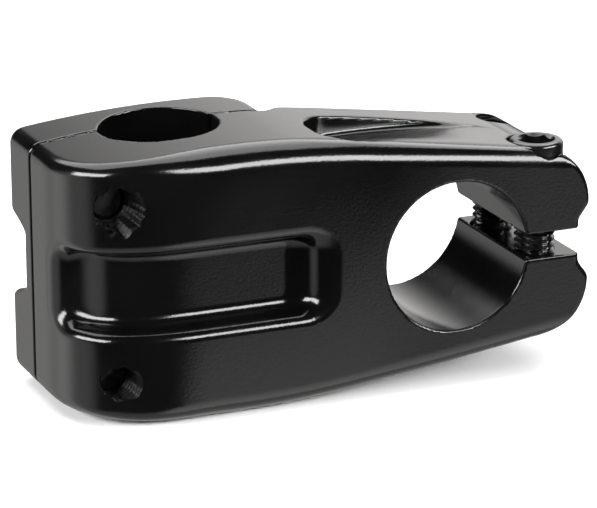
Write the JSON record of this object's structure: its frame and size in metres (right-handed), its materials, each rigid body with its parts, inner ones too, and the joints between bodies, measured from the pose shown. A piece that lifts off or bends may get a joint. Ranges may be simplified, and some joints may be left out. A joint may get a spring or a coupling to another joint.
{
  "type": "handlebar stem",
  "caption": "Short forged bicycle handlebar stem with a bolted bar cap, a split steerer clamp with opposed pinch bolts and a gloss black finish.",
  "frame": {"origin": "middle of the bounding box's footprint, at its lowest level, with the stem lying on its side", "axes": "+Z along the handlebar's axis, +X from the handlebar clamp towards the steerer clamp, +Y towards the side that faces up on the bicycle, where the cap bolts' heads are"},
  "size_m": [0.1014, 0.039, 0.0508],
  "materials": {
    "stem_body": "gloss black paint",
    "clamp_cap": "gloss black paint",
    "bolt": "black oxide"
  },
  "bodies": {
    "stem": {"stem_body": "stem_body"},
    "cap": {"clamp_cap": "clamp_cap"},
    "cap_bolt_front_upper": {"cap_bolt_front_upper": "bolt"},
    "cap_bolt_front_lower": {"cap_bolt_front_lower": "bolt"},
    "cap_bolt_rear_upper": {"cap_bolt_rear_upper": "bolt"},
    "cap_bolt_rear_lower": {"cap_bolt_rear_lower": "bolt"},
    "pinch_bolt_upper": {"pinch_bolt_upper": "bolt"},
    "pinch_bolt_lower": {"pinch_bolt_lower": "bolt"}
  },
  "joints": [
    {"name": "cap_lift", "type": "slide", "parent": "stem", "child": "cap", "axis": [0, 1, 0], "range_m": [0, 0.0125]},
    {"name": "cap_bolt_front_upper_turn", "type": "hinge", "parent": "cap", "child": "cap_bolt_front_upper", "pos_m": [-0.04205, 0.0109, 0.0417], "axis": [0, 1, 0], "range_deg": [0, 3600]},
    {"name": "cap_bolt_front_lower_turn", "type": "hinge", "parent": "cap", "child": "cap_bolt_front_lower", "pos_m": [-0.04205, 0.0109, 0.0091], "axis": [0, 1, 0], "range_deg": [0, 3600]},
    {"name": "cap_bolt_rear_upper_turn", "type": "hinge", "parent": "cap", "child": "cap_bolt_rear_upper", "pos_m": [-0.01105, 0.0109, 0.0417], "axis": [0, 1, 0], "range_deg": [0, 3600]},
    {"name": "cap_bolt_rear_lower_turn", "type": "hinge", "parent": "cap", "child": "cap_bolt_rear_lower", "pos_m": [-0.01105, 0.0109, 0.0091], "axis": [0, 1, 0], "range_deg": [0, 3600]},
    {"name": "pinch_bolt_upper_turn", "type": "hinge", "parent": "stem", "child": "pinch_bolt_upper", "pos_m": [0.04215, -0.0135, 0.0372], "axis": [0, 0, 1], "range_deg": [0, 360]},
    {"name": "pinch_bolt_lower_turn", "type": "hinge", "parent": "stem", "child": "pinch_bolt_lower", "pos_m": [0.04215, 0.0045, 0.0136], "axis": [0, 0, -1], "range_deg": [0, 360]}
  ],
  "couplings": [
    {"joint": "cap_bolt_front_upper_turn", "follows": "cap_lift", "rad_per_m": 5026.5},
    {"joint": "cap_bolt_front_lower_turn", "follows": "cap_lift", "rad_per_m": 5026.5},
    {"joint": "cap_bolt_rear_upper_turn", "follows": "cap_lift", "rad_per_m": 5026.5},
    {"joint": "cap_bolt_rear_lower_turn", "follows": "cap_lift", "rad_per_m": 5026.5}
  ]
}
